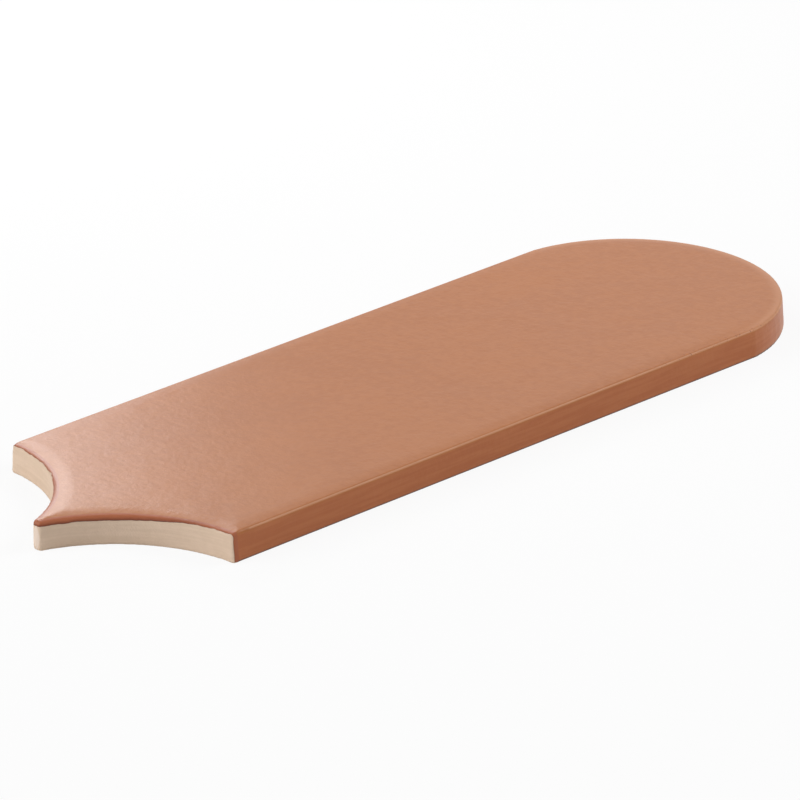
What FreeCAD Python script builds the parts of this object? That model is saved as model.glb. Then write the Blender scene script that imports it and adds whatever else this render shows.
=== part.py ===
import FreeCAD, Part
import math
import os
from FreeCAD import Vector

# Fish scale wall tile: one pressed and fired piece of clay, glazed on its face.
# Millimetres. The origin is the middle of the back, +Z is out of the glazed face,
# +Y runs to the rounded head, and the tail with its two hollows is at -Y.

overall_width = 80.0        # side to side, measured at the back
overall_length = 248.6      # tail tip to the top of the head
thickness = 8.0
shoulder = 0.35             # the head's radius past half the width, so it meets each side at a soft corner
joint_width = 1.2           # the grout line left between a head and the hollow that takes it
tip_width = 2.6             # the blunt end of the tail
side_draft = 4.0            # degrees that the sides and head lean in towards the face, to leave the die
tail_draft = 0.5            # the walls of the hollows and the tip stand almost upright
back_edge_radius = 0.15     # the worn arris around the back
cushion_width = 6.0         # the soft roll of the face down to its edge
side_cushion_radius = 55.0  # how gently it rolls down along the sides and the head
tail_cushion_radius = 27.0  # and at the hollows and the tip, where it falls further
face_edge_radius = 0.5      # the tight turn from the roll into the wall

half_length = overall_length / 2.0
half_width = overall_width / 2.0
head_radius = half_width + shoulder
head_y = half_length - head_radius
tail_radius = head_radius + joint_width
tail_centre_x = half_width + joint_width / 2.0
tail_y = -half_length - math.sqrt(tail_radius ** 2 - (tail_centre_x - tip_width / 2.0) ** 2)


def rolled_edge(draft, cushion_radius):
    """The edge of the tile in section, as steps of (how far in from the outline, height)."""
    lean = math.radians(draft)
    up = Vector(math.sin(lean), math.cos(lean), 0)
    inward = Vector(math.cos(lean), -math.sin(lean), 0)
    lip = back_edge_radius * ((1.0 + math.sin(lean)) / math.cos(lean) - 1.0)
    foot = Vector(-lip, 0, 0)

    back_centre = Vector(back_edge_radius, back_edge_radius, 0)
    back_start = Vector(back_edge_radius, 0, 0)
    back_end = back_centre - inward * back_edge_radius
    back_turn = (back_start + back_end - back_centre * 2.0).normalize()
    back_middle = back_centre + back_turn * back_edge_radius

    roll_centre = Vector(cushion_width, thickness - cushion_radius, 0)
    offset = foot + inward * face_edge_radius - roll_centre
    reach = cushion_radius - face_edge_radius
    along = offset.dot(up)
    rise = math.sqrt(along * along - offset.dot(offset) + reach * reach) - along
    wall_top = foot + up * rise
    edge_centre = wall_top + inward * face_edge_radius
    edge_end = roll_centre + (edge_centre - roll_centre) * (cushion_radius / reach)
    edge_turn = (wall_top + edge_end - edge_centre * 2.0).normalize()
    edge_middle = edge_centre + edge_turn * face_edge_radius

    roll_end = Vector(cushion_width, thickness, 0)
    roll_turn = (edge_end + roll_end - roll_centre * 2.0).normalize()
    roll_middle = roll_centre + roll_turn * cushion_radius
    return [
        (back_start, back_middle, back_end),
        (back_end, None, wall_top),
        (wall_top, edge_middle, edge_end),
        (edge_end, roll_middle, roll_end),
    ]


def placed_edges(draft, cushion_radius, place):
    """The edge section as curves, with each of its points put where `place` says."""
    edges = []
    for start, middle, end in rolled_edge(draft, cushion_radius):
        if middle is None:
            edges.append(Part.makeLine(place(start), place(end)))
        else:
            edges.append(Part.Arc(place(start), place(middle), place(end)).toShape())
    return edges


def closed_face(edges, corners):
    """A face inside a run of curves, closed by straight lines through the corners."""
    points = [edges[-1].valueAt(edges[-1].LastParameter)] + corners
    points.append(edges[0].valueAt(edges[0].FirstParameter))
    lines = [Part.makeLine(a, b) for a, b in zip(points, points[1:])]
    return Part.Face(Part.Wire(edges + lines))


def side_slab(side):
    """Everything inboard of one straight long side."""
    foot_y = -overall_length
    edges = placed_edges(side_draft, side_cushion_radius, lambda p: Vector(side * (half_width - p.x), foot_y, p.y))
    far = -side * overall_width
    corners = [Vector(far, foot_y, thickness), Vector(far, foot_y, 0)]
    return closed_face(edges, corners).extrude(Vector(0, 2.0 * overall_length, 0))


def tip_slab():
    """Everything behind the blunt end of the tail tip."""
    side_x = -overall_width
    edges = placed_edges(tail_draft, tail_cushion_radius, lambda p: Vector(side_x, p.x - half_length, p.y))
    corners = [Vector(side_x, overall_length, thickness), Vector(side_x, overall_length, 0)]
    return closed_face(edges, corners).extrude(Vector(2.0 * overall_width, 0, 0))


def head_end():
    """The round head, with the full width of the tile below its centre."""
    edges = placed_edges(side_draft, side_cushion_radius, lambda p: Vector(head_radius - p.x, 0, p.y))
    corners = [Vector(0, 0, thickness), Vector(0, 0, 0)]
    disc = closed_face(edges, corners).revolve(Vector(0, 0, 0), Vector(0, 0, 1), 360)
    disc.translate(Vector(0, head_y, 0))
    length = 2.0 * overall_length
    stock = Part.makeBox(2.0 * overall_width, length, thickness, Vector(-overall_width, head_y - length, 0))
    return stock.fuse(disc)


def tail_hollow(side):
    """Everything outside one round hollow of the tail."""
    edges = placed_edges(tail_draft, tail_cushion_radius, lambda p: Vector(tail_radius + p.x, 0, p.y))
    reach = 2.0 * overall_length
    corners = [Vector(reach, 0, thickness), Vector(reach, 0, 0)]
    ring = closed_face(edges, corners).revolve(Vector(0, 0, 0), Vector(0, 0, 1), 360)
    ring.translate(Vector(side * tail_centre_x, tail_y, 0))
    return ring


def make_tile():
    tile = side_slab(1).common(side_slab(-1))
    tile = tile.common(tip_slab())
    tile = tile.common(head_end())
    tile = tile.common(tail_hollow(1))
    tile = tile.common(tail_hollow(-1))
    return tile.removeSplitter().Solids[0]


os.makedirs("parts", exist_ok=True)
make_tile().exportStep("parts/tile.step")
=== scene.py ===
import math

import bmesh
import bpy
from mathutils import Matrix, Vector


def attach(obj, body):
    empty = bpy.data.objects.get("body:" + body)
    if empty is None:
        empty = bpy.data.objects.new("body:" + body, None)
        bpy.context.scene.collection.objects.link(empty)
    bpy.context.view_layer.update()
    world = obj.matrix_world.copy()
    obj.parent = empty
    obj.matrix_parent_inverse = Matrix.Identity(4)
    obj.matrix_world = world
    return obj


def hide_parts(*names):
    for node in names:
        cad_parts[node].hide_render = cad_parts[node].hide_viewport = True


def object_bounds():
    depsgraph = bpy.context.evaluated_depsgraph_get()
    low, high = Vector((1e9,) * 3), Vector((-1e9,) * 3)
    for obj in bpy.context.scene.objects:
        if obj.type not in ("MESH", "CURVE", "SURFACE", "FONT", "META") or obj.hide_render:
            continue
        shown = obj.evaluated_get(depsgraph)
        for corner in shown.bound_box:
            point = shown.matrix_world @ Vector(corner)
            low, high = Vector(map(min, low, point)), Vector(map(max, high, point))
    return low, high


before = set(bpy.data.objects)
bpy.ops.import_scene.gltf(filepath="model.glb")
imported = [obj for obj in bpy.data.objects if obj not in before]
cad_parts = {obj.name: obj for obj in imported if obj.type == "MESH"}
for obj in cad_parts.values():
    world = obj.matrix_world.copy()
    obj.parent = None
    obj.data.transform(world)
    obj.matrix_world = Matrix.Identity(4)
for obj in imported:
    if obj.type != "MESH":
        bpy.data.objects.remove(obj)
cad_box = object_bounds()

# The fired tile. A damp slab of pale clay is pressed in a die, which gives it its outline, leaning
# walls and the roll of its face down to every edge. The kiln and the glaze then soften each crease,
# so the pressed form is given an even skin that the next steps relax.
WELD_DISTANCE = 0.000001
SKIN_STEP = 0.00036

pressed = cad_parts["tile"]
form = bmesh.new()
form.from_mesh(pressed.data)
bmesh.ops.remove_doubles(form, verts=form.verts, dist=WELD_DISTANCE)
tile_mesh = bpy.data.meshes.new("fired_tile")
form.to_mesh(tile_mesh)
form.free()

tile = bpy.data.objects.new("fired_tile", tile_mesh)
bpy.context.collection.objects.link(tile)
even_skin = tile.modifiers.new("even_skin", "REMESH")
even_skin.mode = "VOXEL"
even_skin.voxel_size = SKIN_STEP
skinned_tile = tile.evaluated_get(bpy.context.evaluated_depsgraph_get())
fired_mesh = bpy.data.meshes.new_from_object(skinned_tile)
tile.modifiers.clear()
tile.data = fired_mesh

# The creases. Those of the face relax in the kiln, and the walls even out. The back lay flat on the
# kiln's rollers, so its rim stays crisp.
RELAXING = 0.5
CREASE_ROUNDS = 1
WALL_ROUNDS = 4
CRISP_RIM = 0.0006
FLATNESS = 0.00002
WALL_TOP = 0.0066

back_level = cad_box[0][2]
face_level = cad_box[1][2]
fired = bmesh.new()
fired.from_mesh(fired_mesh)


def relax(verts, rounds, upright=False):
    """Evens out the skin at these points, each at its own height or, if upright, in height as well."""
    for _ in range(rounds):
        bmesh.ops.smooth_vert(
            fired, verts=verts, factor=RELAXING, use_axis_x=True, use_axis_y=True, use_axis_z=upright
        )


relax([v for v in fired.verts if v.co.z > back_level + CRISP_RIM], CREASE_ROUNDS, upright=True)
for level_faces in (
    [f for f in fired.faces if all(v.co.z < back_level + FLATNESS for v in f.verts)],
    [f for f in fired.faces if all(v.co.z > face_level - FLATNESS for v in f.verts)],
):
    bmesh.ops.delete(fired, geom=level_faces, context="FACES")
relax([v for v in fired.verts if v.co.z < WALL_TOP], WALL_ROUNDS)

# The tail. Each of its two hollows has the curve of the next tile's head and a grout joint. Its
# upright corners are rubbed round before firing, and so is its blunt tip.
HOLLOW_RADIUS = 0.04155
HOLLOW_CENTRE_X = 0.0406
HOLLOW_BEHIND_TIP = 0.01349
RUBBED_REACH = 0.0018
RUBBING_ROUNDS = 7

half_width = cad_box[1][0]
tip_y = cad_box[0][1]
hollow_y = tip_y - HOLLOW_BEHIND_TIP
tail_corners = ((half_width, hollow_y + HOLLOW_RADIUS), (0.0, tip_y))
rubbed = [
    v for v in fired.verts
    if any(math.hypot(abs(v.co.x) - x, v.co.y - y) < RUBBED_REACH for x, y in tail_corners)
]
relax(rubbed, RUBBING_ROUNDS)

# The level parts. The middle of the face and the whole back are each one flat face again, with a
# narrow border that keeps the roll's shading off them.
LEVEL_BORDER = 0.0001

for level in (back_level, face_level):
    rim = [e for e in fired.edges if e.is_boundary and abs(e.verts[0].co.z - level) < CRISP_RIM]
    level_face = bmesh.ops.contextual_create(fired, geom=rim)["faces"]
    bmesh.ops.inset_region(fired, faces=level_face, thickness=LEVEL_BORDER, use_even_offset=True)
for face in fired.faces:
    face.smooth = True
fired.to_mesh(fired_mesh)
fired.free()

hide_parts("tile")
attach(tile, "root")

# The finish. A satin copper-brown glaze is fused to the pale clay, so the two are one surface. What
# shows at a point follows from where it lies on the tile: how far from the centre line, from a hollow
# and from a side, how far along, and how high.
WALL_LEAN = math.tan(math.radians(4.0))

finish = bpy.data.materials.new("copper_glaze_on_clay")
finish.use_nodes = True
nodes = finish.node_tree.nodes
links = finish.node_tree.links
shader = nodes["Principled BSDF"]
place = nodes.new("ShaderNodeTexCoord")


def join(value, socket):
    """Puts a number, a colour or another node's output into a socket."""
    if isinstance(value, bpy.types.NodeSocket):
        links.new(value, socket)
    else:
        socket.default_value = value


def calculate(operation, first, second=0.0):
    node = nodes.new("ShaderNodeMath")
    node.operation = operation
    join(first, node.inputs[0])
    join(second, node.inputs[1])
    return node.outputs[0]


def fade(value, low, high, from_value=0.0, to_value=1.0):
    """A soft step: from_value below low, to_value above high."""
    node = nodes.new("ShaderNodeMapRange")
    node.interpolation_type = "SMOOTHSTEP"
    join(value, node.inputs["Value"])
    node.inputs["From Min"].default_value = low
    node.inputs["From Max"].default_value = high
    node.inputs["To Min"].default_value = from_value
    node.inputs["To Max"].default_value = to_value
    return node.outputs["Result"]


def noise(scale, detail=2.0, roughness=0.5, vector=place.outputs["Object"]):
    node = nodes.new("ShaderNodeTexNoise")
    links.new(vector, node.inputs["Vector"])
    node.inputs["Scale"].default_value = scale
    node.inputs["Detail"].default_value = detail
    node.inputs["Roughness"].default_value = roughness
    return node.outputs["Fac"]


def distance(first, second):
    """The length of two sides of a right angle taken together."""
    squares = calculate("ADD", calculate("MULTIPLY", first, first), calculate("MULTIPLY", second, second))
    return calculate("SQRT", squares)


def blend_colours(factor, first, second):
    node = nodes.new("ShaderNodeMix")
    node.data_type = "RGBA"
    join(factor, node.inputs["Factor"])
    join(first, node.inputs[6])
    join(second, node.inputs[7])
    return node.outputs[2]


def blend_values(factor, first, second):
    node = nodes.new("ShaderNodeMix")
    join(factor, node.inputs["Factor"])
    join(first, node.inputs[2])
    join(second, node.inputs[3])
    return node.outputs[0]


axes = nodes.new("ShaderNodeSeparateXYZ")
links.new(place.outputs["Object"], axes.inputs[0])
right = axes.outputs["X"]
along = axes.outputs["Y"]
height = axes.outputs["Z"]
across = calculate("ABSOLUTE", right)
hollow_distance = distance(
    calculate("SUBTRACT", across, HOLLOW_CENTRE_X),
    calculate("SUBTRACT", along, hollow_y),
)
side_distance = calculate(
    "SUBTRACT", calculate("SUBTRACT", half_width, across), calculate("MULTIPLY", height, WALL_LEAN)
)

# The bare clay. The glaze stops in a slightly ragged line just over the edge of the two hollows and
# the tip, lower on the tip and a little higher on the left, and laps round the corners of the tail.
# The back isn't glazed.
LIP_WIDTH = 0.0015
LIP_FADE = 0.0002
GLAZE_STOP_AT_TIP = 0.0063
GLAZE_STOP_AT_SIDES = 0.0073
TIP_TO_SIDES = (0.008, 0.034)
LEFT_STOP_RISE = 0.0006
LEFT_STOP_REACH = (-0.006, -0.001)
RAGGED_SCALE = 260.0
RAGGED_DEPTH = 0.0007
STOP_SHARPNESS = 0.00006
CORNER_WRAP = 0.0002
CORNER_ROUND = 0.0012
BACK_BAND = (0.00003, 0.00006)
NOISE_MIDDLE = 0.5

lip_end = HOLLOW_RADIUS + LIP_WIDTH
in_tail = fade(hollow_distance, lip_end, lip_end + LIP_FADE, 1.0, 0.0)
ragged = calculate("SUBTRACT", noise(RAGGED_SCALE, detail=3.0), NOISE_MIDDLE)
ragged = calculate("MULTIPLY", ragged, RAGGED_DEPTH)
stop_height = fade(across, *TIP_TO_SIDES, GLAZE_STOP_AT_TIP, GLAZE_STOP_AT_SIDES)
left_rise = fade(right, *LEFT_STOP_REACH, LEFT_STOP_RISE, 0.0)
stop_height = calculate("MINIMUM", calculate("ADD", stop_height, left_rise), GLAZE_STOP_AT_SIDES)
above_stop = calculate("SUBTRACT", calculate("SUBTRACT", height, stop_height), ragged)
bare_depth = nodes.new("ShaderNodeMath")
bare_depth.operation = "SMOOTH_MIN"
links.new(calculate("MULTIPLY", above_stop, -1.0), bare_depth.inputs[0])
links.new(calculate("SUBTRACT", side_distance, CORNER_WRAP), bare_depth.inputs[1])
bare_depth.inputs[2].default_value = CORNER_ROUND
below_stop = fade(bare_depth.outputs[0], -STOP_SHARPNESS, STOP_SHARPNESS)
bare_tail = calculate("MULTIPLY", in_tail, below_stop)
bare_back = fade(height, *BACK_BAND, 1.0, 0.0)
bare = calculate("MAXIMUM", bare_tail, bare_back)

# The glaze of the face and the walls. It lies in thin and thick clouds on the face and in long bands
# on the walls, where it runs down. A dark painted shadow lies along the foot of the walls.
GLAZE_COLOUR = (0.393, 0.133, 0.038, 1.0)
GLAZE_THIN_COLOUR = (0.425, 0.151, 0.047, 1.0)
GLAZE_WALL_COLOUR = (0.410, 0.127, 0.044, 1.0)
GLAZE_WALL_THIN_COLOUR = (0.442, 0.147, 0.053, 1.0)
PAINTED_FOOT_SHADOW_COLOUR = (0.040, 0.016, 0.010, 1.0)
CLOUD_SCALE = 38.0
CLOUD_SHARE = 0.4
MOTTLE_SCALE = 400.0
MOTTLE_SHARE = 0.6
THIN_RANGE = (0.38, 0.62)
BAND_STRETCH = (60.0, 60.0, 1100.0)
BAND_RANGE = (0.35, 0.65)
WALL_TO_FACE = (0.0066, 0.0074)
FOOT_SHADOW_HEIGHT = 0.0007

cloudy = noise(CLOUD_SCALE, detail=4.0, roughness=0.55)
mottle = noise(MOTTLE_SCALE, detail=3.0, roughness=0.65)
long_grain = nodes.new("ShaderNodeMapping")
long_grain.inputs["Scale"].default_value = BAND_STRETCH
links.new(place.outputs["Object"], long_grain.inputs["Vector"])
banding = fade(noise(1.0, vector=long_grain.outputs["Vector"]), *BAND_RANGE)
thinness = calculate(
    "ADD", calculate("MULTIPLY", cloudy, CLOUD_SHARE), calculate("MULTIPLY", mottle, MOTTLE_SHARE)
)
face_colour = blend_colours(fade(thinness, *THIN_RANGE), GLAZE_COLOUR, GLAZE_THIN_COLOUR)
wall_glaze = blend_colours(banding, GLAZE_WALL_COLOUR, GLAZE_WALL_THIN_COLOUR)
wall_colour = blend_colours(fade(height, *WALL_TO_FACE), wall_glaze, face_colour)

# The glazed edge. A pale painted highlight lies on the upper edge of the long sides, and over a
# broader band round the rim of the head. A few dark pits break it there.
PAINTED_EDGE_HIGHLIGHT_COLOUR = (0.530, 0.235, 0.112, 1.0)
GLAZE_DARK_COLOUR = (0.200, 0.050, 0.023, 1.0)
EDGE_FROM = (0.0071, 0.0074)
EDGE_TO = (0.00762, 0.00772)
EDGE_STOP_AT_HOLLOW = (0.0050, 0.0062)
HEAD_RADIUS = 0.04035
RIM_BAND = (0.0365, 0.0396)
RIM_STRENGTH = 0.75
RIM_FROM_SIDES = (-0.01, 0.012)
RIM_FROM_WALL = (0.0070, 0.0074)
PIT_SCALE = 1500.0
PIT_RANGE = (0.64, 0.70)
PIT_FROM_WALL = (0.0070, 0.0073)
PIT_FROM_SIDE = (0.0003, 0.0032)
PIT_TOWARDS_HEAD = (0.02, 0.07)
PIT_STRENGTH = 0.5

side_edge_highlight = calculate("MULTIPLY", fade(height, *EDGE_FROM), fade(height, *EDGE_TO, 1.0, 0.0))
edge_low, edge_high = EDGE_STOP_AT_HOLLOW
clear_of_hollow = fade(hollow_distance, HOLLOW_RADIUS + edge_low, HOLLOW_RADIUS + edge_high)
side_edge_highlight = calculate("MULTIPLY", side_edge_highlight, clear_of_hollow)
past_head_centre = calculate("SUBTRACT", along, cad_box[1][1] - HEAD_RADIUS)
head_rim_highlight = fade(distance(across, past_head_centre), *RIM_BAND, 0.0, RIM_STRENGTH)
head_rim_highlight = calculate("MULTIPLY", head_rim_highlight, fade(past_head_centre, *RIM_FROM_SIDES))
head_rim_highlight = calculate("MULTIPLY", head_rim_highlight, fade(height, *RIM_FROM_WALL))
pit = fade(noise(PIT_SCALE, detail=1.0), *PIT_RANGE)
pit = calculate("MULTIPLY", pit, fade(height, *PIT_FROM_WALL))
pit = calculate("MULTIPLY", pit, fade(side_distance, *PIT_FROM_SIDE, 1.0, 0.0))
pit = calculate("MULTIPLY", pit, fade(along, *PIT_TOWARDS_HEAD, 0.0, PIT_STRENGTH))
# Painted highlight: pale colour on the long sides' upper edge and round the head's rim.
edge_highlighted_colour = blend_colours(calculate("MAXIMUM", side_edge_highlight, head_rim_highlight), wall_colour, PAINTED_EDGE_HIGHLIGHT_COLOUR)
broken_colour = blend_colours(pit, edge_highlighted_colour, GLAZE_DARK_COLOUR)
# Painted shadow: the walls turn dark close to the floor.
foot_shadowed_colour = blend_colours(fade(height, 0.0, FOOT_SHADOW_HEIGHT), PAINTED_FOOT_SHADOW_COLOUR, broken_colour)

# The lip of the glaze. Over the hollows it hangs in a thin reddish lip, and it is darker in a band
# just over its edge along the right-hand hollow and the tip, fading towards the sides.
GLAZE_LIP_COLOUR = (0.385, 0.118, 0.052, 1.0)
DARK_BAND_HEIGHT = 0.0009
DARK_BAND_TO_SIDES = (0.020, 0.034)
DARK_BAND_FROM_LEFT = (-0.006, 0.002)
DARK_BAND_ON_LEFT = 0.12

# Darker in a band just over the glaze's edge in the tail, faint on the left.
dark_band = calculate("MULTIPLY", in_tail, fade(above_stop, 0.0, DARK_BAND_HEIGHT, 1.0, 0.0))
dark_band = calculate("MULTIPLY", dark_band, fade(across, *DARK_BAND_TO_SIDES, 1.0, 0.0))
dark_band = calculate("MULTIPLY", dark_band, fade(right, *DARK_BAND_FROM_LEFT, DARK_BAND_ON_LEFT, 1.0))
lipped_colour = blend_colours(in_tail, foot_shadowed_colour, GLAZE_LIP_COLOUR)
glaze_colour = blend_colours(dark_band, lipped_colour, GLAZE_DARK_COLOUR)

# The clay's colour. It is a fine, faintly streaked buff, made paler by painted light in a lens on the
# flat of the tip.
CLAY_COLOUR = (0.725, 0.556, 0.424, 1.0)
CLAY_PAINTED_TIP_LIGHT_COLOUR = (0.765, 0.620, 0.515, 1.0)
CLAY_DARK_COLOUR = (0.675, 0.512, 0.382, 1.0)
GRAIN_SCALE = 700.0
GRAIN_SHARE = 0.5
STREAK_SHARE = 0.25
GRAIN_RANGE = (0.20, 0.60)
TIP_LIGHT_MIDDLE = 0.0032
TIP_LIGHT_TAPER = 90.0
TIP_LIGHT_HALF_WIDTH = (0.0009, 0.0012)
TIP_LIGHT_BEHIND_TIP = (0.0006, 0.0009)

clay_grain = calculate(
    "ADD",
    calculate("MULTIPLY", noise(GRAIN_SCALE, detail=4.0, roughness=0.6), GRAIN_SHARE),
    calculate("MULTIPLY", banding, STREAK_SHARE),
)
# Painted light: the tip's flat face is made paler in a lens.
tip_light_bow = calculate("SUBTRACT", height, TIP_LIGHT_MIDDLE)
tip_light_taper = calculate("MULTIPLY", calculate("MULTIPLY", tip_light_bow, tip_light_bow), TIP_LIGHT_TAPER)
tip_light_width = fade(calculate("ADD", across, tip_light_taper), *TIP_LIGHT_HALF_WIDTH, 1.0, 0.0)
tip_light_low, tip_light_high = TIP_LIGHT_BEHIND_TIP
tip_light = calculate("MULTIPLY", fade(along, tip_y + tip_light_low, tip_y + tip_light_high, 1.0, 0.0), tip_light_width)
plain_clay = blend_colours(fade(clay_grain, *GRAIN_RANGE), CLAY_DARK_COLOUR, CLAY_COLOUR)
clay_colour = blend_colours(tip_light, plain_clay, CLAY_PAINTED_TIP_LIGHT_COLOUR)
links.new(blend_colours(bare, glaze_colour, clay_colour), shader.inputs["Base Color"])

# The surface. The glaze is satin, with a fine orange peel on a slow swell. The clay is dull and
# finely specked, and lies a glaze's thickness lower.
GLAZE_ROUGHNESS = 0.37
GLAZE_ROUGHNESS_RANGE = 0.10
CLAY_ROUGHNESS = 0.85
SPECULAR_LEVEL = 0.24
GLASS_IOR = 1.5
PEEL_SCALE = 750.0
PEEL_HEIGHT = 0.000055
SWELL_SCALE = 120.0
SWELL_HEIGHT = 0.000130
SPECK_SCALE = 2600.0
SPECK_HEIGHT = 0.000050
CLAY_BELOW_GLAZE = 0.00018

uneven = calculate("MULTIPLY", calculate("SUBTRACT", cloudy, NOISE_MIDDLE), GLAZE_ROUGHNESS_RANGE)
glaze_roughness = calculate("ADD", GLAZE_ROUGHNESS, uneven)
links.new(blend_values(bare, glaze_roughness, CLAY_ROUGHNESS), shader.inputs["Roughness"])
shader.inputs["Specular IOR Level"].default_value = SPECULAR_LEVEL
shader.inputs["IOR"].default_value = GLASS_IOR

glaze_relief = calculate(
    "ADD",
    calculate("MULTIPLY", noise(PEEL_SCALE, detail=3.0), PEEL_HEIGHT),
    calculate("MULTIPLY", noise(SWELL_SCALE), SWELL_HEIGHT),
)
clay_relief = calculate("MULTIPLY", noise(SPECK_SCALE, detail=1.0), SPECK_HEIGHT)
clay_relief = calculate("ADD", clay_relief, -CLAY_BELOW_GLAZE)
relief = nodes.new("ShaderNodeBump")
relief.inputs["Strength"].default_value = 1.0
relief.inputs["Distance"].default_value = 1.0
links.new(blend_values(bare, glaze_relief, clay_relief), relief.inputs["Height"])
links.new(relief.outputs["Normal"], shader.inputs["Normal"])

tile.data.materials.clear()
tile.data.materials.append(finish)

# The floor. A plain white sheet that the tile lies on. Most of what is seen of it is its own white
# glow, which lights nothing, and the rest takes the tile's soft shadow.
FLOOR_SIZE = 6.0
FLOOR_GAP = 0.00003
FLOOR_COLOUR = (0.82, 0.82, 0.82, 1.0)
FLOOR_GLOW = 0.90
WHITE = (1.0, 1.0, 1.0, 1.0)

floor_form = bmesh.new()
bmesh.ops.create_grid(floor_form, x_segments=1, y_segments=1, size=FLOOR_SIZE / 2.0)
bmesh.ops.translate(floor_form, verts=floor_form.verts, vec=(0.0, 0.0, back_level - FLOOR_GAP))
floor_mesh = bpy.data.meshes.new("floor")
floor_form.to_mesh(floor_mesh)
floor_form.free()
floor = bpy.data.objects.new("floor", floor_mesh)
bpy.context.collection.objects.link(floor)


def seen_directly(tree):
    """1 where a thing is looked at, or seen in a reflection or through glass, and 0 as a light."""
    ray = tree.nodes.new("ShaderNodeLightPath")
    seen = ray.outputs["Is Camera Ray"]
    for kind in ("Is Glossy Ray", "Is Transmission Ray"):
        either = tree.nodes.new("ShaderNodeMath")
        either.operation = "MAXIMUM"
        tree.links.new(seen, either.inputs[0])
        tree.links.new(ray.outputs[kind], either.inputs[1])
        seen = either.outputs[0]
    return seen


white_floor = bpy.data.materials.new("white_floor")
white_floor.use_nodes = True
floor_nodes = white_floor.node_tree.nodes
floor_links = white_floor.node_tree.links
floor_nodes.clear()
paint = floor_nodes.new("ShaderNodeBsdfDiffuse")
paint.inputs["Color"].default_value = FLOOR_COLOUR
glow = floor_nodes.new("ShaderNodeEmission")
glow.inputs["Color"].default_value = WHITE
glow.inputs["Strength"].default_value = 1.0
share = floor_nodes.new("ShaderNodeMath")
share.operation = "MULTIPLY"
share.inputs[1].default_value = FLOOR_GLOW
floor_mix = floor_nodes.new("ShaderNodeMixShader")
floor_output = floor_nodes.new("ShaderNodeOutputMaterial")
floor_links.new(seen_directly(white_floor.node_tree), share.inputs[0])
floor_links.new(share.outputs[0], floor_mix.inputs["Fac"])
floor_links.new(paint.outputs["BSDF"], floor_mix.inputs[1])
floor_links.new(glow.outputs["Emission"], floor_mix.inputs[2])
floor_links.new(floor_mix.outputs["Shader"], floor_output.inputs["Surface"])
floor_mesh.materials.append(white_floor)

# The light. A soft white room, three low softboxes off the left side that lay a sheen on the face and
# most of it on the tail, and four broad fills round the tile that light its walls.
ROOM_LEVEL = 0.255
MIDDLE = (0.0, 0.0, 0.0)
TAIL_HALF = (0.0, -0.10, 0.0)

room = bpy.data.worlds.new("soft_room")
bpy.context.scene.world = room
room.use_nodes = True
room_nodes = room.node_tree.nodes
room_links = room.node_tree.links
sky = room_nodes["Background"]
sky.inputs["Color"].default_value = WHITE
sky_level = room_nodes.new("ShaderNodeMapRange")
sky_level.inputs["To Min"].default_value = ROOM_LEVEL
sky_level.inputs["To Max"].default_value = 1.0
room_links.new(seen_directly(room.node_tree), sky_level.inputs["Value"])
room_links.new(sky_level.outputs["Result"], sky.inputs["Strength"])

for name, position, aim, size, power in (
    ("sheen_softbox", (-0.360, 0.147, 0.235), TAIL_HALF, 0.12, 0.52),
    ("low_softbox", (-0.456, 0.156, 0.171), TAIL_HALF, 0.20, 0.17),
    ("far_softbox", (-0.362, 0.544, 0.306), TAIL_HALF, 0.30, 0.14),
    ("tail_fill", (-0.55, -0.95, 0.60), (0.0, -0.05, 0.0), 0.80, 8.5),
    ("head_fill", (0.46, 0.78, 0.78), MIDDLE, 0.50, 6.2),
    ("right_fill", (1.00, 0.35, 0.70), MIDDLE, 0.80, 1.8),
    ("front_fill", (0.15, -1.20, 0.35), MIDDLE, 0.60, 1.6),
):
    lamp = bpy.data.lights.new(name, "AREA")
    lamp.shape = "SQUARE"
    lamp.size = size
    lamp.energy = power
    lamp_object = bpy.data.objects.new(name, lamp)
    lamp_object.location = position
    lamp_object.rotation_euler = (Vector(aim) - Vector(position)).to_track_quat("-Z", "Y").to_euler()
    bpy.context.collection.objects.link(lamp_object)

# The camera. A long lens, about two metres off the tail's right corner and a little above it, that
# takes in the whole tile with the two hollows nearest.
VIEW_AZIMUTH = math.radians(45.05)
VIEW_ELEVATION = math.radians(22.63)
VIEW_DISTANCE = 1.9393
VIEW_TARGET = Vector((0.00252, -0.00240, 0.00416))
SENSOR_WIDTH = 36.0
FOCAL_LENGTH = 346.3
NEAREST_SEEN = 0.05

towards_camera = Vector((
    math.sin(VIEW_AZIMUTH) * math.cos(VIEW_ELEVATION),
    -math.cos(VIEW_AZIMUTH) * math.cos(VIEW_ELEVATION),
    math.sin(VIEW_ELEVATION),
))
lens = bpy.data.cameras.new("camera")
lens.sensor_width = SENSOR_WIDTH
lens.lens = FOCAL_LENGTH
lens.clip_start = NEAREST_SEEN
camera = bpy.data.objects.new("camera", lens)
camera.location = VIEW_TARGET + towards_camera * VIEW_DISTANCE
camera.rotation_euler = (-towards_camera).to_track_quat("-Z", "Y").to_euler()
bpy.context.collection.objects.link(camera)
bpy.context.scene.camera = camera
bpy.context.scene.view_settings.view_transform = "Standard"
